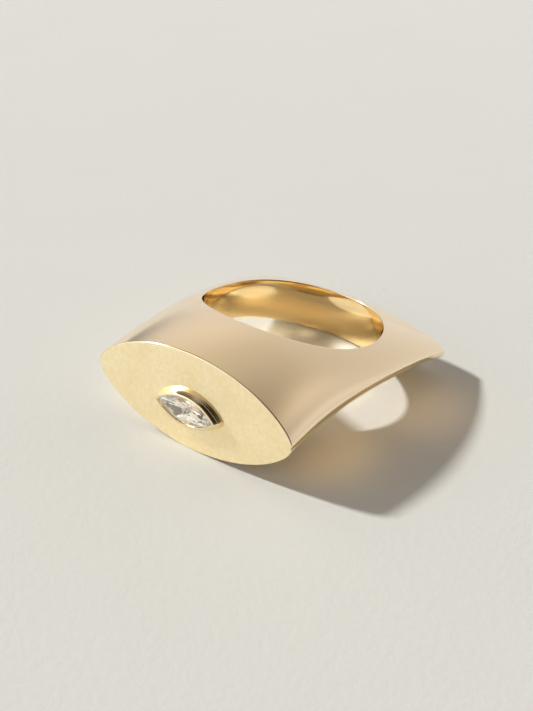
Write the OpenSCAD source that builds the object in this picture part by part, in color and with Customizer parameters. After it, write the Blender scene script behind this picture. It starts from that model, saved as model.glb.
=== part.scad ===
// Eye ring: a one-piece ring body with a flat eye-shaped face, an arched lens-section body behind it,
// a round finger bore and a raised marquise bezel, plus a marquise brilliant held in the bezel.
// Millimetres. The ring lies on its side as it rests by itself: +Z up, the face towards -Y,
// the origin on the resting plane at the middle of the ring.

/* [Finger bore] */
// inner diameter of the finger bore, size 52 (52 mm round)
finger_d = 16.55; // [14.5:0.05:17.5]
// distance from the face plane back to the bore axis
bore_back = 14.3; // [13.6:0.1:14.8]

/* [Face] */
// width of the eye-shaped face, tip to tip
face_w = 21.2; // [20:0.1:24]
// height of the eye-shaped face
face_h = 9.14; // [7.5:0.1:10]
// bevel round the face and round the back end
edge_bevel = 0.14; // [0.08:0.02:0.3]

/* [Body] */
// length of the body, from the face to the back end
body_len = 23.6; // [23.2:0.1:26]
// width of the body at a quarter of its length
quarter_w = 21.25; // [20:0.05:24]
// width of the body at half of its length
mid_w = 22; // [20.4:0.1:24]
// width of the body at three quarters of its length
three_quarter_w = 22.5; // [20.4:0.1:24]
// width of the back end
back_w = 22.55; // [20:0.05:24]
// thickness of the body at a quarter of its length
quarter_h = 9.2; // [7.5:0.1:10]
// thickness of the body at half of its length
mid_h = 7.56; // [6:0.02:9]
// thickness of the body at three quarters of its length
three_quarter_h = 5.96; // [4.5:0.02:7]
// thickness of the back end
back_h = 4.38; // [3:0.02:5.5]
// rise of the arched middle above the line from the face to the back end
arch_rise = 1.42; // [0:0.02:1.6]
// thickness of the narrow land that runs along each flank
flank_land = 0.36; // [0.2:0.02:0.6]
// fullness of the lens section: 0.5 is an ellipse, 1 is a sharp lens
section_power = 0.68; // [0.55:0.01:0.9]

/* [Bezel] */
// length of the bezel, tip to tip
bezel_l = 7; // [6.9:0.05:8]
// width of the bezel
bezel_w = 3.14; // [3.1:0.02:3.6]
// height of the bezel rim above the face
bezel_up = 0.95; // [0.9:0.05:1.8]
// distance of the bezel's middle below the middle of the face
bezel_drop = 0.5; // [0:0.05:0.6]
// overlap of the bezel lip over the edge of the stone
lip = 0.08; // [0.05:0.01:0.1]

/* [Stone] */
// length of the stone, tip to tip
stone_l = 6.2; // [5.8:0.05:6.3]
// width of the stone
stone_w = 2.66; // [2.3:0.02:2.68]
// height of the crown above the girdle
crown_h = 0.42; // [0.36:0.02:0.5]
// thickness of the girdle
girdle_h = 0.1; // [0.06:0.02:0.14]
// depth of the pavilion below the girdle
pavilion_h = 1.04; // [0.9:0.02:1.2]
// share of the stone's outline that the table takes
table_share = 0.6; // [0.5:0.01:0.66]
// height of the table above the bezel rim
table_proud = 0.1; // [0:0.02:0.2]
// clear gap round the girdle of the stone
stone_gap = 0.04; // [0.03:0.01:0.06]

/* [Hidden] */

body_rows = 34;
section_steps = 34;

// one row per station, equally spaced from the face to the back: width, thickness
WIDTH = 0;
THICK = 1;
stations = [
    [face_w, face_h],
    [quarter_w, quarter_h],
    [mid_w, mid_h],
    [three_quarter_w, three_quarter_h],
    [back_w, back_h]
];

// natural cubic curve through the five stations, t from 0 at the face to 1 at the back
function turn(c, i) = 6 * (stations[i - 1][c] - 2 * stations[i][c] + stations[i + 1][c]);
function mid_bend(c) = (turn(c, 2) - (turn(c, 1) + turn(c, 3)) / 4) / 3.5;
function bends(c) = [
    0, (turn(c, 1) - mid_bend(c)) / 4, mid_bend(c), (turn(c, 3) - mid_bend(c)) / 4, 0
];
function along(t, c) =
    let (i = min(3, floor(4 * t)), f = 4 * t - i, g = 1 - f, m = bends(c))
    g * stations[i][c] + f * stations[i + 1][c]
    + ((pow(g, 3) - g) * m[i] + (pow(f, 3) - f) * m[i + 1]) / 6;

// height of the arched middle at t
function arch(t) = 4 * arch_rise * t * (1 - t);

// depths of the sections, with a bevel row at each end
function row_depth(i) =
    i == 0 ? 0
    : i == body_rows ? body_len
    : edge_bevel + (body_len - 2 * edge_bevel) * (i - 1) / (body_rows - 2);
function row_inset(i) = (i == 0 || i == body_rows) ? edge_bevel : 0;

// point j of the upper and of the lower half of section i, from the -X flank to the +X flank
function upper(i, j) =
    let (y = row_depth(i), t = y / body_len, a = -90 + 180 * j / section_steps,
         half_w = along(t, WIDTH) / 2 - row_inset(i),
         half_h = along(t, THICK) / 2 - row_inset(i),
         up = flank_land / 2 + (half_h - flank_land / 2) * pow(max(0, cos(a)), 2 * section_power))
    [half_w * sin(a), y, arch(t) + up];
function lower(i, j) =
    let (p = upper(i, j))
    [p[0], p[1], 2 * arch(p[1] / body_len) - p[2]];

loop_n = 2 * (section_steps + 1);
body_points = [
    for (i = [0 : body_rows])
        for (k = [0 : loop_n - 1])
            k <= section_steps ? upper(i, k) : lower(i, loop_n - 1 - k)
];
function at(i, k) = i * loop_n + k % loop_n;
side_faces = [
    for (i = [0 : body_rows - 1])
        for (k = [0 : loop_n - 1])
            for (f = [[at(i, k), at(i + 1, k), at(i, k + 1)],
                      [at(i, k + 1), at(i + 1, k), at(i + 1, k + 1)]])
                f
];
face_cap = [for (k = [0 : loop_n - 1]) at(0, k)];
back_cap = [for (k = [loop_n - 1 : -1 : 0]) at(body_rows, k)];

// girdle planes, as depths behind the face plane, so negative is in front of it
table_y = -bezel_up - table_proud;
girdle_front = table_y + crown_h;
girdle_back = girdle_front + girdle_h;

// resting pose: the bottoms of the face edge and of the back edge touch the plane z = 0
face_foot = lower(1, section_steps / 2);
back_foot = lower(body_rows - 1, section_steps / 2);
rest_tilt = atan((back_foot[2] - face_foot[2]) / (back_foot[1] - face_foot[1]));
rest_lift = face_foot[1] * sin(rest_tilt) - face_foot[2] * cos(rest_tilt);
front_reach = min(
    -bezel_up * cos(rest_tilt) - (bezel_drop + bezel_w / 2) * sin(rest_tilt),
    table_y * cos(rest_tilt) - (bezel_drop + table_share * stone_w / 2) * sin(rest_tilt));
back_reach = body_len * cos(rest_tilt) + (back_h / 2 - edge_bevel) * sin(rest_tilt);

module rest()
{
    translate([0, -(front_reach + back_reach) / 2, rest_lift])
        rotate([-rest_tilt, 0, 0])
            children();
}

// marquise prism, two arcs meeting in two tips, from depth y0 back to depth y1
module marquise(l, w, y0, y1)
{
    r = (l * l + w * w) / (4 * w);
    translate([0, y1, -bezel_drop])
        rotate([90, 0, 0])
            intersection()
            {
                translate([0, r - w / 2, 0])
                    cylinder(h = y1 - y0, r = r, $fn = 240);
                translate([0, w / 2 - r, 0])
                    cylinder(h = y1 - y0, r = r, $fn = 240);
            }
}

// the bezel wall, soldered to the face
module bezel()
{
    marquise(bezel_l, bezel_w, -bezel_up, 0.4);
}

// the opening under the lip, the room for the girdle, and the well for the pavilion
module stone_seat()
{
    marquise(stone_l - 2 * lip, stone_w - 2 * lip, -bezel_up - 1, girdle_front);
    marquise(stone_l + 2 * stone_gap, stone_w + 2 * stone_gap,
             girdle_front - 0.12, girdle_back + pavilion_h * 0.25);
    marquise(stone_l - 0.7, stone_w - 0.44, girdle_front, girdle_back + pavilion_h + 0.1);
}

module ring_body()
{
    color([0.86, 0.70, 0.42])
        rest()
            difference()
            {
                union()
                {
                    polyhedron(points = body_points, faces = concat(side_faces, [face_cap, back_cap]),
                               convexity = 6);
                    bezel();
                }
                translate([0, bore_back, -15])
                    cylinder(h = 30, r = finger_d / 2, $fn = 180);
                stone_seat();
            }
}

// rows of facet corners: share of the length, share of the width, depth, corners a side, half a step on
LONG = 0;
WIDE = 1;
DEPTH = 2;
COUNT = 3;
SHIFT = 4;
facet_rows = [
    [table_share, table_share, table_y, 4, 0],
    [0.83, 0.83, girdle_front - crown_h * 0.55, 4, 0.5],
    [1, 1, girdle_front, 8, 0],
    [1, 1, girdle_back, 8, 0],
    [0.5, 0.5, girdle_back + pavilion_h * 0.62, 4, 0.5],
    [0.16, 0.04, girdle_back + pavilion_h, 1, 0]
];

// corners of one row along the two arcs of its marquise
function facet_corners(row) =
    let (l = stone_l * row[LONG], w = stone_w * row[WIDE], r = (l * l + w * w) / (4 * w),
         half = asin(l / 2 / r), n = row[COUNT])
    [
        for (side = [1, -1])
            for (k = [0 : n - 1])
                let (a = side * half * (2 * (k + row[SHIFT]) / n - 1))
                [r * sin(a), row[DEPTH], side * (r * cos(a) - r + w / 2) - bezel_drop]
    ];

// thin skin over a list of corners, for a hull to close
module corner_skin(points)
{
    polyhedron(points = points, faces = [for (i = [0 : len(points) - 3]) [i, i + 1, i + 2]]);
}

module stone()
{
    color([0.88, 0.91, 0.93])
        rest()
            hull()
                corner_skin([for (row = facet_rows) for (p = facet_corners(row)) p]);
}

ring_body();
stone();
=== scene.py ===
import bpy
from math import asin, atan, atan2, cos, pi, radians, sin, sqrt, tan
from mathutils import Matrix, Vector


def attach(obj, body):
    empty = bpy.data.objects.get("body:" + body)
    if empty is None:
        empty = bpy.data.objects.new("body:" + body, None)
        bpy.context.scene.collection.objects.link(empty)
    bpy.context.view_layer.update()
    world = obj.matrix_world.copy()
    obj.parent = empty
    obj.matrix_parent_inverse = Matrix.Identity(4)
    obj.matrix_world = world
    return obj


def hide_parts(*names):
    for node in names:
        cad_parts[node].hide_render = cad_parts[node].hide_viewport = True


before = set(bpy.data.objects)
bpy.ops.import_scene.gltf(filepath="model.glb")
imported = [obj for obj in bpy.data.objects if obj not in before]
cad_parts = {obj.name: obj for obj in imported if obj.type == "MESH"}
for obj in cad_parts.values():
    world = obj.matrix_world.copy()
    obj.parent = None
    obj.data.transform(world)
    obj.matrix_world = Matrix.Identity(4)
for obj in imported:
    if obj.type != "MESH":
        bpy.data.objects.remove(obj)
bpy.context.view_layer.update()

mm = 0.001
creaseAngle = 34  # degrees, an edge that turns by more than this stays crisp
print("frame loaded")


# helpers for working on one piece at a time
def selectNothing():
    if bpy.context.object and bpy.context.object.mode != "OBJECT":
        bpy.ops.object.mode_set(mode="OBJECT")
    bpy.ops.object.select_all(action="DESELECT")


def makeActive(piece):
    selectNothing()
    piece.select_set(True)
    bpy.context.view_layer.objects.active = piece


def newPiece(name):
    piece = bpy.context.object  # the primitive that was just added
    piece.name = name
    piece.data.name = name
    return piece


def applyPlace(piece):
    makeActive(piece)
    bpy.ops.object.transform_apply(location=True, rotation=True, scale=True)


def applyModifier(piece, kind, **settings):
    makeActive(piece)
    modifier = piece.modifiers.new(kind.lower(), kind)
    for key, value in settings.items():
        setattr(modifier, key, value)
    bpy.ops.object.modifier_apply(modifier=modifier.name)


def dropPiece(piece):
    makeActive(piece)
    bpy.ops.object.delete()


def editFaces(piece):  # opens edit mode with every face selected
    makeActive(piece)
    bpy.ops.object.mode_set(mode="EDIT")
    bpy.ops.mesh.select_mode(type="FACE")
    bpy.ops.mesh.select_all(action="SELECT")


def turnFacesOut():  # turns the selected faces outwards and leaves edit mode
    bpy.ops.mesh.normals_make_consistent(inside=False)
    bpy.ops.object.mode_set(mode="OBJECT")


def giveFinishes(piece, *finishes):
    piece.data.materials.clear()
    for finish in finishes:
        piece.data.materials.append(finish)


def smoothPiece(piece):
    makeActive(piece)
    bpy.ops.object.shade_smooth_by_angle(angle=radians(creaseAngle))


# measures of the ring in millimetres: x runs along the eye, y from the face to the back
# and z through the thickness
ring = {
    "boreRadius": 8.275,  # finger bore
    "boreBack": 14.3,  # from the face to the middle of the bore
    "length": 23.6,
    "widths": [21.2, 21.25, 22.0, 22.5, 22.55],  # at five even steps from the face to the back
    "heights": [9.14, 9.2, 7.56, 5.96, 4.38],
    "archRise": 1.42,  # how far the middle of the ring is bowed up
    "flankLand": 0.36,  # narrow flat along each flank
    "fullness": 0.68,  # of the lens section: 0.5 is an ellipse, 1 a sharp lens
    "tilt": 5.79588,  # the ring lies on its side on the face edge and the back edge
    "slide": -11.25533,
    "lift": 4.53356,
}

restMatrix = (
    Matrix.Translation((0, ring["slide"] * mm, ring["lift"] * mm))
    @ Matrix.Rotation(radians(-ring["tilt"]), 4, "X")
)


def layDown(piece):
    applyPlace(piece)
    piece.matrix_world = restMatrix
    applyPlace(piece)


def through(values, t):  # natural cubic curve through five even steps
    def turn(i):
        return 6 * (values[i - 1] - 2 * values[i] + values[i + 1])
    middle = (turn(2) - (turn(1) + turn(3)) / 4) / 3.5
    bend = [0, (turn(1) - middle) / 4, middle, (turn(3) - middle) / 4, 0]
    i = max(0, min(3, int(4 * t)))
    f = 4 * t - i
    g = 1 - f
    straight = g * values[i] + f * values[i + 1]
    return straight + ((g ** 3 - g) * bend[i] + (f ** 3 - f) * bend[i + 1]) / 6


def halfWidth(y):
    return through(ring["widths"], y / ring["length"]) / 2


def halfHeight(y):
    return through(ring["heights"], y / ring["length"]) / 2


def arch(y):
    t = y / ring["length"]
    return 4 * ring["archRise"] * t * (1 - t)


# half thickness of the section: turned is 0 in the middle and 90 at the flank
def lens(y, turned, inset=0):
    land = ring["flankLand"] / 2
    curve = max(0, cos(radians(turned))) ** (2 * ring["fullness"])
    return land + (halfHeight(y) - inset - land) * curve


def turnAt(x, y):  # how far round the section x lies, in degrees
    return asin(x / halfWidth(y)) * 180 / pi


# the ring body: a torus whose rows are laid over the bore, the top, the face and the underside
goldBody = {
    "startRadius": 10, "startWall": 3,  # the torus before its rows are laid
    "frontColumns": 76, "flankColumns": 50, "backColumns": 72,
    "frontCorner": 46, "backCorner": 50,  # bore angles that face the four corners
    "boreRows": (0, 0.01, 0.05, 0.1, 0.17, 0.25, 0.35, 0.5, 0.65, 0.75, 0.83, 0.9, 0.95, 0.99, 1),
    "sheetRows": 34, "sheetEnd": 0.008,  # one close row at each end keeps the edges crisp
    "wallRows": (0.006, 0.1, 0.2, 0.3, 0.4, 0.5, 0.6, 0.7, 0.8, 0.9, 0.994),
    "edgeSteps": 4,
    "faceEdge": 0.08,  # rounded edge of the face and of the back
    "boreEdge": 0.18,  # rounded rim of the bore
    "boreSwell": 0.1, "boreSwellBelow": 0.02,  # the bore is a little wider at its two ends
    "swellPower": 3,
    "faceWithin": 0.002, "faceTurn": -0.99,  # what counts as the flat face
    "boreWithin": 0.004,  # and as the bore's wall
}


# place, bore angle, turn of the section and depth y of each column, once round the ring
def bodyColumns():
    b = goldBody
    edge, back = b["faceEdge"], ring["length"] - b["faceEdge"]
    front, rear = b["frontCorner"], 180 - b["backCorner"]
    columns = []
    for i in range(b["frontColumns"] + 1):
        s = 2 * i / b["frontColumns"] - 1
        columns.append(("front", front * s, 90 * s, edge))
    for i in range(1, b["flankColumns"]):
        s = i / b["flankColumns"]
        columns.append(("flank", front + (rear - front) * s, 90, edge + (back - edge) * s))
    for i in range(b["backColumns"] + 1):
        s = 1 - 2 * i / b["backColumns"]
        columns.append(("back", 180 - b["backCorner"] * s, 90 * s, back))
    for i in range(1, b["flankColumns"]):
        s = 1 - i / b["flankColumns"]
        columns.append(("flank", -front - (rear - front) * s, -90, edge + (back - edge) * s))
    return columns


# zone of each row, how far through it the row lies, and 1 for the top or -1 for the underside
def bodyRows():
    b = goldBody
    steps, close = b["edgeSteps"], b["sheetEnd"]
    sheet = [0, close] + [k / b["sheetRows"] for k in range(1, b["sheetRows"])] + [1 - close, 1]
    rows = [("bore", q, 1) for q in b["boreRows"]]
    rows += [("rim", 90 - 90 * k / steps, 1) for k in range(1, steps)]
    rows += [("sheet", s, 1) for s in sheet]
    rows += [("edge", 90 * k / steps, 1) for k in range(1, steps + 1)]
    rows += [("wall", q, 1) for q in b["wallRows"]]
    rows += [("edge", 90 - 90 * k / steps, -1) for k in range(steps)]
    rows += [("sheet", s, -1) for s in reversed(sheet)]
    rows += [("rim", 90 * k / steps, -1) for k in range(1, steps)]
    return rows


def bodyPoint(column, row, drop):  # drop is the share of the way down the flank's land
    zone, amount, side = row
    place, boreAngle, turned, y = column
    radius, rim, edge = ring["boreRadius"], goldBody["boreEdge"], goldBody["faceEdge"]
    land = ring["flankLand"] / 2 * (1 - 2 * drop)
    a = radians(boreAngle)
    if zone in ("bore", "rim"):
        upper = side > 0 if zone == "rim" else amount > 0.5
        swell = goldBody["boreSwell" if upper else "boreSwellBelow"]
        if zone == "bore":
            r = radius + swell * abs(2 * amount - 1) ** goldBody["swellPower"]
        else:
            r = radius + swell + (rim - swell) * (1 - sin(radians(amount)))
        x, y = r * sin(a), ring["boreBack"] - r * cos(a)
        skin = lens(y, turnAt(x, y))
        if zone == "rim":
            return x, y, arch(y) + side * (skin - rim * (1 - cos(radians(amount))))
        return x, y, arch(y) + (skin - rim) * (2 * amount - 1)
    if zone == "sheet":
        r = radius + rim
        x0, y0 = r * sin(a), ring["boreBack"] - r * cos(a)
        turned0 = turnAt(x0, y0)
        turned = turned0 + (turned - turned0) * amount
        y = y0 + (y - y0) * amount
        return halfWidth(y) * sin(radians(turned)), y, arch(y) + side * lens(y, turned)
    if place == "flank":
        return halfWidth(y) * sin(radians(turned)), y, arch(y) + land
    inset = edge if zone == "wall" else edge * (1 - cos(radians(amount)))
    depth = 0 if zone == "wall" else edge * (1 - sin(radians(amount)))
    y = depth if place == "front" else ring["length"] - depth
    x = (halfWidth(y) - inset) * sin(radians(turned))
    if abs(turned) == 90:
        return x, y, arch(y) + land
    skin = lens(y, turned, inset)
    return x, y, arch(y) + skin * (1 - 2 * amount if zone == "wall" else side)


def makeBody():
    columns, rows = bodyColumns(), bodyRows()
    bpy.ops.mesh.primitive_torus_add(
        major_segments=len(columns), minor_segments=len(rows),
        major_radius=goldBody["startRadius"] * mm, minor_radius=goldBody["startWall"] * mm)
    body = newPiece("ring_gold")
    outer = [k for k, row in enumerate(rows) if row[0] in ("edge", "wall")]
    for i, column in enumerate(columns):
        for k, row in enumerate(rows):
            drop = (k - outer[0] + 1) / (len(outer) + 1)
            body.data.vertices[i * len(rows) + k].co = Vector(bodyPoint(column, row, drop)) * mm
    editFaces(body)
    turnFacesOut()
    return body


# the marquise outline: two arcs that meet in two softened tips
marquiseLine = {
    "arcSteps": 72, "tipSteps": 12,
    "leastTip": 0.012,  # smallest radius of a tip
}


def marquise(length, width, tip, inset=0):
    arcSteps, tipSteps = marquiseLine["arcSteps"], marquiseLine["tipSteps"]
    half = width / 2
    radius = (length ** 2 + width ** 2) / (4 * width)
    arcRadius, tipRadius = radius - inset, max(tip - inset, marquiseLine["leastTip"])
    tipX = sqrt((arcRadius - tipRadius) ** 2 - (radius - half) ** 2)
    swing = atan2(tipX, radius - half)  # from the middle of an arc to where the tip starts
    points = []
    for side in (1, -1):
        for i in range(arcSteps):
            a = swing * (1 - 2 * i / arcSteps)
            points.append((side * arcRadius * sin(a), side * (arcRadius * cos(a) - radius + half)))
        for i in range(tipSteps):
            a = pi / 2 - swing - (pi - 2 * swing) * i / tipSteps
            points.append((-side * (tipX + tipRadius * cos(a)), side * tipRadius * sin(a)))
    return points


# the bezel: a torus whose rows follow the marquise outline up the wall, over the rim
# and down the seat
bezel = {
    "startRadius": 3, "startWall": 0.5,  # the torus before its rows are laid
    "length": 6.74, "width": 2.88, "height": 0.84,  # the flat rim
    "drop": 0.56,  # below the middle of the face
    "tip": 0.16,
    "flare": 0.195, "slope": 0.32,  # the wall leans out below the rim
    "ledge": 0.035, "ledgeEdge": 0.006,  # thin step below the slope
    "foot": 0.205,  # and from there down to the face
    "footRows": (0.97, 0.6, 0.25, 0.05),
    "sunk": 0.02, "sunkInside": 0.03,  # the underside lies a little inside the ring body
    "rimRound": 0.2, "rimSteps": 8, "rimFlat": 0.01,
    "innerRound": 0.03, "innerSteps": 4, "innerFlat": 0.012,
    "openLength": 6.02, "openWidth": 2.48, "lipDepth": 0.3,  # inside the lip
    "grooveLength": 6.28, "grooveWidth": 2.74, "grooveDepth": 0.62,  # holds the girdle
    "grooveStep": 0.005,
    "seatLength": 5.5, "seatWidth": 2.22, "seatStep": 0.12,  # below the girdle
    "innerTip": 0.05,
    "wellLength": 6.5, "wellWidth": 2.7, "wellDepth": 1.0,  # pocket in the ring body
    "wellTip": 0.1, "wellAbove": 0.5, "wellGap": 0.05,
}


# outline, inset and depth of each row, from the well round the wall and back down the seat
def bezelRows():
    b = bezel
    flare, slope, foot, gap = b["flare"], b["slope"], b["foot"], b["wellGap"]
    outer = (b["length"] + 2 * flare, b["width"] + 2 * flare, b["tip"] + flare)
    opening = (b["openLength"], b["openWidth"], b["innerTip"])
    groove = (b["grooveLength"], b["grooveWidth"], b["innerTip"])
    seat = (b["seatLength"], b["seatWidth"], b["innerTip"])
    stem = (b["wellLength"], b["wellWidth"], b["wellTip"])
    top, big, small = -b["height"], b["rimRound"], b["innerRound"]
    lean = atan2(slope, flare - b["ledge"])  # how far the slope is turned from the rim
    high = big * tan(lean / 2)
    lipBack, grooveBack = top + b["lipDepth"], top + b["grooveDepth"]
    bottom = b["wellDepth"] - gap
    rows = [(stem, gap, bottom), (stem, gap, b["sunkInside"]), (outer, -foot, b["sunk"])]
    for s in b["footRows"]:
        rows.append((outer, -foot * s, (top + slope) * (1 - s)))
    rows += [(outer, b["ledgeEdge"], top + slope), (outer, b["ledge"], top + slope)]
    for k in range(b["rimSteps"] + 1):  # from the slope round to the rim
        a = pi / 2 - lean + lean * k / b["rimSteps"]
        rows.append((outer, flare + high - big * cos(a), top + big * (1 - sin(a))))
    rows += [(outer, flare + high + b["rimFlat"], top), (opening, -small - b["innerFlat"], top)]
    for k in range(b["innerSteps"] + 1):  # over the lip into the opening
        a = radians(90 * k / b["innerSteps"])
        rows.append((opening, -small * (1 - sin(a)), top + small * (1 - cos(a))))
    rows += [(opening, 0, lipBack), (groove, 0, lipBack + b["grooveStep"])]
    rows += [(groove, 0, grooveBack), (seat, 0, grooveBack + b["seatStep"]), (seat, 0, bottom)]
    return rows


def makeBezel():
    rows = bezelRows()
    count = len(marquise(bezel["length"], bezel["width"], bezel["tip"]))
    bpy.ops.mesh.primitive_torus_add(
        major_segments=count, minor_segments=len(rows),
        major_radius=bezel["startRadius"] * mm, minor_radius=bezel["startWall"] * mm)
    cup = newPiece("bezel_gold")
    for k, (shape, inset, depth) in enumerate(rows):
        for i, (x, z) in enumerate(marquise(*shape, inset)):
            cup.data.vertices[i * len(rows) + k].co = Vector((x, depth, z - bezel["drop"])) * mm
    editFaces(cup)
    turnFacesOut()
    return cup


# a solid block on the marquise outline, for the well and for the uncut stone
def marquiseBlock(name, length, width, tip, front, back):
    points = marquise(length, width, tip)
    bpy.ops.mesh.primitive_cylinder_add(
        vertices=len(points), radius=width / 2 * mm, depth=(back - front) * mm)
    block = newPiece(name)
    for vertex in block.data.vertices:
        x, z = points[(vertex.index // 2) % len(points)]
        depth = front if vertex.index % 2 else back
        vertex.co = Vector((x, depth, z - bezel["drop"])) * mm
    editFaces(block)
    turnFacesOut()
    return block


def makeWell():
    b = bezel
    return marquiseBlock(
        "well", b["wellLength"], b["wellWidth"], b["wellTip"], -b["wellAbove"], b["wellDepth"])


# the stone: the marquise block cut facet by facet
stoneCut = {
    "length": 6.2, "width": 2.66, "tip": 0.03,
    "tableAbove": 0.1,  # above the bezel's rim
    "crown": 0.42, "girdle": 0.1, "pavilion": 0.72,
    "tableShare": 0.6,
    "mains": (0, 55, 90, 125),  # directions of the facets, in degrees
    "halves": (22, 45, 64, 81, 99, 116, 135, 158),
    "stars": (34, 72, 108, 146),
    "halfCrown": 1.25, "halfPavilion": 1.14, "starCrown": 0.6,  # how steep next to the mains
    "cutWithin": 0.0001, "mergeWithin": 0.0005,  # points nearer than this are one
    "facingBack": 0.2,  # facets turned back by more than this get the finish of the back
    "clear": (0.985, 0.985, 0.98, 1), "bending": 1.75,  # index of refraction
    "haze": (1900, 2), "hazeFrom": 0.55, "hazeRoughness": 0.02,  # faint polishing haze
    "back": (0.985, 0.975, 0.95, 1), "backDeep": (0.95, 0.93, 0.89, 1),
    "backHaze": (2600, 2), "backRoughness": 0.016,
    "glowFlecks": 2900, "glowFleckPower": 2.2,  # how fine and how sharp the painted glow is broken up into flecks behind
    "paintedGlowDim": (0.05, 0.04, 0.025, 1),  # dim and bright tones of a painted glow that stands in for light the facets pass on between them
    "bright": (0.38, 0.35, 0.29, 1),
}


def makeStone():
    s = stoneCut
    tableY = -bezel["height"] - s["tableAbove"]
    girdleTop = tableY + s["crown"]
    girdleBottom = girdleTop + s["girdle"]
    outline = marquise(s["length"], s["width"], s["tip"])
    stone = marquiseBlock(
        "stone_cut", s["length"], s["width"], s["tip"], tableY, girdleBottom + s["pavilion"])

    def reach(a):  # how far the outline goes in direction a
        return max(x * cos(a) + z * sin(a) for x, z in outline)

    def cutFacet(a, steep, far, depth, side):  # side is -1 for the crown, 1 for the pavilion
        slope = atan(steep)
        facing = Vector((cos(a) * sin(slope), side * cos(slope), sin(a) * sin(slope)))
        point = Vector((cos(a) * far, depth, sin(a) * far - bezel["drop"])) * mm
        bpy.ops.mesh.select_all(action="SELECT")
        bpy.ops.mesh.bisect(
            plane_co=point, plane_no=facing, use_fill=True, clear_outer=True,
            threshold=s["cutWithin"] * mm)

    editFaces(stone)
    share = s["tableShare"]
    sets = (("mains", 1, 1), ("halves", s["halfCrown"], s["halfPavilion"]))
    for turn in (0, 180):
        for name, crownSteep, pavilionSteep in sets:
            for degrees in s[name]:
                a = radians(degrees + turn)
                far = reach(a)
                cutFacet(a, crownSteep * s["crown"] / (far * (1 - share)), far, girdleTop, -1)
                cutFacet(a, pavilionSteep * s["pavilion"] / far, far, girdleBottom, 1)
        for degrees in s["stars"]:
            a = radians(degrees + turn)
            far = reach(a)
            cutFacet(a, s["starCrown"] * s["crown"] / (far * (1 - share)), far * share, tableY, -1)
    bpy.ops.mesh.select_all(action="SELECT")
    bpy.ops.mesh.remove_doubles(threshold=s["mergeWithin"] * mm)
    turnFacesOut()
    return stone


# shader maths: an expression on wires adds its Math nodes
class Wire:
    def __init__(self, board, socket):
        self.board = board
        self.socket = socket

    def join(self, operation, first, second):
        return self.board.node("ShaderNodeMath", {"operation": operation}, {0: first, 1: second})

    def __add__(self, other):
        return self.join("ADD", self, other)

    def __radd__(self, other):
        return self.join("ADD", other, self)

    def __sub__(self, other):
        return self.join("SUBTRACT", self, other)

    def __rsub__(self, other):
        return self.join("SUBTRACT", other, self)

    def __mul__(self, other):
        return self.join("MULTIPLY", self, other)

    def __rmul__(self, other):
        return self.join("MULTIPLY", other, self)

    def __truediv__(self, other):
        return self.join("DIVIDE", self, other)

    def __pow__(self, other):
        return self.join("POWER", self, other)

    def atLeast(self, other):
        return self.join("MAXIMUM", self, other)

    def atMost(self, other):
        return self.join("MINIMUM", self, other)


class Board:  # one node tree
    def __init__(self, tree):
        self.tree = tree
        tree.nodes.clear()

    def node(self, kind, settings=None, links=None, output=0):
        made = self.tree.nodes.new(kind)
        for key, value in (settings or {}).items():
            setattr(made, key, value)
        for key, value in (links or {}).items():
            if isinstance(value, Wire):
                self.tree.links.new(value.socket, made.inputs[key])
            else:
                made.inputs[key].default_value = value
        return Wire(self, made.outputs[output]) if len(made.outputs) else made

    def blend(self, amount, first, second):  # colour sockets are 6, 7 and output 2
        links = {0: amount, 6: first, 7: second}
        return self.node("ShaderNodeMix", {"data_type": "RGBA"}, links, 2)

    def noise(self, place, scale, detail=2.0, rough=0.5):
        return self.node("ShaderNodeTexNoise", {}, {
            "Vector": place, "Scale": scale, "Detail": detail, "Roughness": rough})

    def bump(self, strength, depth, height):  # depth in millimetres
        return self.node("ShaderNodeBump", {}, {
            "Strength": strength, "Distance": depth * mm, "Height": height})

    def surface(self, sockets):
        shader = self.node("ShaderNodeBsdfPrincipled", {}, sockets)
        self.node("ShaderNodeOutputMaterial", {}, {"Surface": shader})


def newFinish(name):
    material = bpy.data.materials.new(name)
    material.use_nodes = True
    board = Board(material.node_tree)
    return material, board, board.node("ShaderNodeTexCoord", output="Object")


# finishes of the gold, each with a light and a deep tone
gold = {
    "polished": (0.97, 0.82, 0.56, 1), "polishedDeep": (0.95, 0.79, 0.52, 1),
    "polishedRoughness": 0.11, "bezelRoughness": 0.06,
    # the bore's gold is a deeper, more orange copy of the polished gold: painted warmth for light
    # bounced between the bore's walls
    "bore": (0.99, 0.80, 0.46, 1), "boreDeep": (0.96, 0.74, 0.39, 1),
    "boreRoughness": 0.06,
    "cloud": (260, 3), "hair": (16000, 2),  # noises: scale, detail and roughness
    "cloudLeast": 0.8, "cloudSpread": 0.4,  # shares of the roughness
    "hairStrength": 0.05, "hairDepth": 0.002,
    "satin": (1.0, 0.90, 0.62, 1), "satinDeep": (0.96, 0.81, 0.48, 1),
    "satinRoughness": 0.5, "satinSpread": 0.2,
    "satinGrain": (8000, 4, 0.6), "satinPatch": (2600, 4, 0.65), "satinCloud": (420, 2),
    "patchShare": 0.75, "cloudShare": 0.25, "toneContrast": 4,
    "satinStrength": 0.8, "satinDepth": 0.012, "patchHeight": 1.6,
}


def polishedFinish(name, tone, roughness):  # tone and roughness are names of values in gold
    material, board, place = newFinish(name)
    cloud = board.noise(place, *gold["cloud"])
    hair = board.noise(place, *gold["hair"])
    board.surface({
        "Base Color": board.blend(cloud, gold[tone], gold[tone + "Deep"]),
        "Metallic": 1.0,
        "Roughness": gold[roughness] * (gold["cloudLeast"] + cloud * gold["cloudSpread"]),
        "Normal": board.bump(gold["hairStrength"], gold["hairDepth"], hair),
    })
    return material


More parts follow.
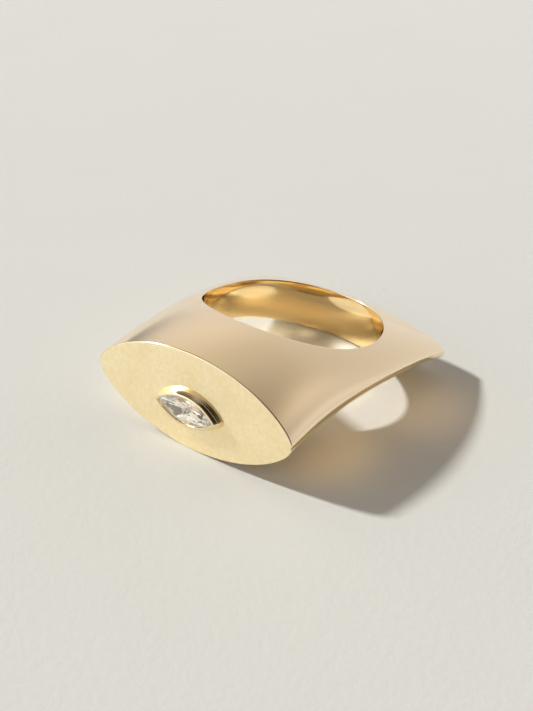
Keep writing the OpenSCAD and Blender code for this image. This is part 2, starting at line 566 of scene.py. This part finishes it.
def satinFinish():
    material, board, place = newFinish("satin_gold")
    grain = board.noise(place, *gold["satinGrain"])
    patch = board.noise(place, *gold["satinPatch"])
    cloud = board.noise(place, *gold["satinCloud"])
    mottle = patch * gold["patchShare"] + cloud * gold["cloudShare"] - 0.5  # about 0
    tone = (mottle * gold["toneContrast"] + 0.5).atLeast(0).atMost(1)
    height = grain + patch * gold["patchHeight"]
    board.surface({
        "Base Color": board.blend(tone, gold["satinDeep"], gold["satin"]),
        "Metallic": 1.0,
        "Roughness": gold["satinRoughness"] + (patch - 0.5) * gold["satinSpread"],
        "Normal": board.bump(gold["satinStrength"], gold["satinDepth"], height),
    })
    return material


def stoneFinish():
    material, board, place = newFinish("clear_stone")
    haze = board.noise(place, *stoneCut["haze"])
    board.surface({
        "Base Color": stoneCut["clear"],
        "Roughness": ((haze - stoneCut["hazeFrom"]) * stoneCut["hazeRoughness"]).atLeast(0),
        "IOR": stoneCut["bending"], "Transmission Weight": 1.0,
    })
    return material


def stoneBackFinish():  # the facets behind: a mirror that throws the light back out of the front, under a painted glow in flecks
    material, board, place = newFinish("stone_back_painted_glow")
    haze = board.noise(place, *stoneCut["backHaze"])
    # the flecks of painted glow: a cell pattern, sharpened so that only a few flecks glow brightly
    fleck = board.node(
        "ShaderNodeTexVoronoi", {}, {"Vector": place, "Scale": stoneCut["glowFlecks"]}, "Color")
    chance = board.node("ShaderNodeSeparateColor", {}, {"Color": fleck}, "Red")
    paintedSparkle = chance ** stoneCut["glowFleckPower"]
    board.surface({
        "Base Color": board.blend(haze, stoneCut["back"], stoneCut["backDeep"]),
        "Metallic": 1.0,
        "Roughness": haze * stoneCut["backRoughness"],
        # painted glow: the back facets give off light of their own, standing in for light passed
        # between the facets
        "Emission Color": board.blend(paintedSparkle, stoneCut["paintedGlowDim"], stoneCut["bright"]),
        "Emission Strength": 1.0,
    })
    return material


# the plain floor that the ring lies on
floorLook = {
    "size": 0.8,  # metres
    "light": (0.675, 0.685, 0.655, 1), "deep": (0.655, 0.665, 0.635, 1),
    "cloud": (90, 3), "grain": (1400, 5, 0.6),
    "grainStrength": 0.25, "grainDepth": 0.12,
    "roughness": 0.95, "gloss": 0.1,
    "sheen": 0.9, "sheenRoughness": 0.3,
}


def floorFinish():
    material, board, place = newFinish("pale_floor")
    grain = board.noise(place, *floorLook["grain"])
    cloud = board.noise(place, *floorLook["cloud"])
    board.surface({
        "Base Color": board.blend(cloud, floorLook["light"], floorLook["deep"]),
        "Roughness": floorLook["roughness"],
        "Specular IOR Level": floorLook["gloss"],
        "Sheen Weight": floorLook["sheen"], "Sheen Roughness": floorLook["sheenRoughness"],
        "Normal": board.bump(floorLook["grainStrength"], floorLook["grainDepth"], grain),
    })
    return material


def makeFloor():
    selectNothing()
    bpy.ops.mesh.primitive_plane_add(size=floorLook["size"], location=(0, 0, 0))
    floor = newPiece("floor")
    giveFinishes(floor, floorFinish())


# the camera
view = {
    "place": (54.7502, -73.9104, 63.1999),  # millimetres
    "turn": (57.02842, -0.79728, 37.29008),  # degrees
    "lens": 60.7595, "sensor": 36,
    "nearest": 0.001, "farthest": 10,  # metres
}

# the sun, the sky and the small lamps over the floor
light = {
    "sunFall": (1.48, 0.42, -1.0),  # the way the light goes
    "sunAway": 0.1,  # metres
    "sunStrength": 3.85,
    "sunTint": (1.0, 0.985, 0.96),
    "sunSoftness": 5,  # degrees
    "skyLow": (0.83, 0.80, 0.84, 1),
    "skyHigh": (0.58, 0.52, 0.47, 1),
    "skyRise": 0.78,  # height from which the sky has its high tone
    "skyFront": (0.11, 0.088, 0.062, 1),  # the dark side, in front and to the right
    "skyTop": (0.03, 0.022, 0.012, 1),
    "shades": (  # other tones in the sky: direction x, y, z, narrowness, strength, tone
        (0.7, -0.5, 0.5, 1.6, 1.2, "skyFront"),
        (0.35, -0.25, 0.9, 8, 1.6, "skyTop"),
    ),
    "glows": (  # brighter and dimmer parts: direction x, y, z, narrowness, strength
        (-0.557, 0.557, 0.616, 18, 0.26),
        (0.50, 0.52, 0.69, 40, 0.6),
        (-0.911, 0.406, 0.07, 50, -0.75),
        (-0.60, -0.76, 0.25, 7, 1.8),
        (0.735, 0.595, 0.326, 60, 0.35),
    ),
    "darkPanel": (-0.6, -0.2, 0.77, 30), "darkShare": 0.85,  # direction x, y, z, half angle
    "brightPanel": (-0.02, -0.64, 0.775, 7), "brightness": 2.2,  # small, high in front
    "panelEdge": 6,  # greater is sharper
    "bounces": (  # light that the gold throws on the floor: x, y, z, size, power, tint
        (-1.0, 5.0, 2.0, 6.0, 0.00005, (1.0, 0.62, 0.26)),
        (-5.2, 6.2, 1.4, 3.0, 0.00003, (1.0, 0.88, 0.66)),
        (-5.4, 8.7, 1.0, 2.8, 0.000016, (1.0, 0.74, 0.4)),
        (-3.0, 9.9, 0.8, 1.7, 0.000007, (1.0, 0.74, 0.4)),
        (1.1, 10.2, 0.8, 2.0, 0.000012, (1.0, 0.88, 0.7)),
        (0.4, 6.8, 1.2, 3.0, 0.00002, (1.0, 0.78, 0.45)),
        (9.0, -4.6, 2.8, 9.6, 0.00012, (1.0, 0.62, 0.26)),
        (12.0, 6.0, 3.0, 9.6, 0.00009, (1.0, 0.62, 0.26)),
    ),
}


def placeCamera():
    selectNothing()
    bpy.ops.object.camera_add(
        location=[v * mm for v in view["place"]], rotation=[radians(v) for v in view["turn"]])
    camera = bpy.context.object
    camera.name = "camera"
    camera.data.lens = view["lens"]
    camera.data.sensor_width = view["sensor"]
    camera.data.clip_start = view["nearest"]
    camera.data.clip_end = view["farthest"]
    bpy.context.scene.camera = camera


def placeSun():
    fall = Vector(light["sunFall"])
    selectNothing()
    bpy.ops.object.light_add(
        type="SUN", location=-fall * light["sunAway"],
        rotation=fall.to_track_quat("-Z", "Y").to_euler())
    sun = bpy.context.object
    sun.name = "sun"
    sun.data.energy = light["sunStrength"]
    sun.data.angle = radians(light["sunSoftness"])
    sun.data.color = light["sunTint"]


def makeSky():
    scene = bpy.context.scene
    world = bpy.data.worlds.new("studio")
    scene.world = world
    world.use_nodes = True
    board = Board(world.node_tree)
    way = board.node("ShaderNodeTexCoord", output="Generated")
    height = board.node("ShaderNodeSeparateXYZ", {}, {"Vector": way}, "Z")

    def glow(x, y, z, narrow):  # 1 towards x, y, z and less all round it
        aim = tuple(Vector((x, y, z)).normalized())
        facing = board.node(
            "ShaderNodeVectorMath", {"operation": "DOT_PRODUCT"}, {0: way, 1: aim}, "Value")
        return facing.atLeast(0) ** narrow

    def panel(x, y, z, size):  # 1 inside a round panel of that half angle, soft at its edge
        inside = glow(x, y, z, 1) - cos(radians(size))
        return (inside * light["panelEdge"] / sin(radians(size))).atLeast(0).atMost(1)

    rise = (height / light["skyRise"]).atLeast(0).atMost(1)
    sky = board.blend(rise, light["skyLow"], light["skyHigh"])
    for x, y, z, narrow, amount, tone in light["shades"]:
        sky = board.blend((glow(x, y, z, narrow) * amount).atMost(1), sky, light[tone])
    sky = board.blend(panel(*light["darkPanel"]) * light["darkShare"], sky, light["skyFront"])
    strength = 1
    for x, y, z, narrow, amount in light["glows"]:
        strength = strength + glow(x, y, z, narrow) * amount
    bright = panel(*light["brightPanel"]) * light["brightness"]
    strength = strength + bright / light["skyFront"][0]
    back = board.node("ShaderNodeBackground", {}, {"Color": sky, "Strength": strength})
    board.node("ShaderNodeOutputWorld", {}, {"Surface": back})
    scene.view_settings.view_transform = "Standard"


def placeBounces():  # light for the floor alone, so the gold doesn't mirror the lamps
    for k, (x, y, z, size, power, tint) in enumerate(light["bounces"]):
        selectNothing()
        bpy.ops.object.light_add(type="AREA", location=(x * mm, y * mm, z * mm))
        lamp = bpy.context.object
        lamp.name = "bounce_%d" % k
        lamp.data.shape = "DISK"
        lamp.data.size = size * mm
        lamp.data.energy = power
        lamp.data.color = tint
        lamp.visible_camera = False
        lamp.visible_glossy = False


placeCamera()
placeSun()
makeSky()
placeBounces()
makeFloor()
print("camera, light and floor placed")

body = makeBody()
well = makeWell()
applyModifier(body, "BOOLEAN", operation="DIFFERENCE", object=well, solver="EXACT")
dropPiece(well)
giveFinishes(
    body,
    polishedFinish("polished_gold", "polished", "polishedRoughness"),
    satinFinish(),
    # the bore's copy of the gold, with painted warmth for light bounced round the bore
    polishedFinish("bore_gold_painted_warmth", "bore", "boreRoughness"),
)
for polygon in body.data.polygons:  # finishes are numbered in the order above
    middle = polygon.center / mm
    fromAxis = sqrt(middle.x ** 2 + (middle.y - ring["boreBack"]) ** 2)
    flat = abs(middle.y) < goldBody["faceWithin"]
    onFace = flat and polygon.normal.y < goldBody["faceTurn"]
    inBore = fromAxis < ring["boreRadius"] + goldBody["boreSwell"] + goldBody["boreWithin"]
    polygon.material_index = 1 if onFace else 2 if inBore else 0
smoothPiece(body)
layDown(body)
print("ring body made")

cup = makeBezel()
giveFinishes(cup, polishedFinish("bright_gold", "polished", "bezelRoughness"))
cup.visible_glossy = False  # keeps its glare off the satin face round it
smoothPiece(cup)
layDown(cup)
print("bezel made")

gem = makeStone()
giveFinishes(gem, stoneFinish(), stoneBackFinish())
for polygon in gem.data.polygons:
    polygon.material_index = 1 if polygon.normal.y > stoneCut["facingBack"] else 0
makeActive(gem)
bpy.ops.object.shade_flat()
layDown(gem)
print("stone cut")

for piece, node, slot in (
    (body, "ring_body", "gold"),
    (cup, "ring_body", "gold"),
    (gem, "stone", "stone"),
):
    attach(piece, "root")
    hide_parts(node)
    print(piece.name, len(piece.data.polygons), "faces")
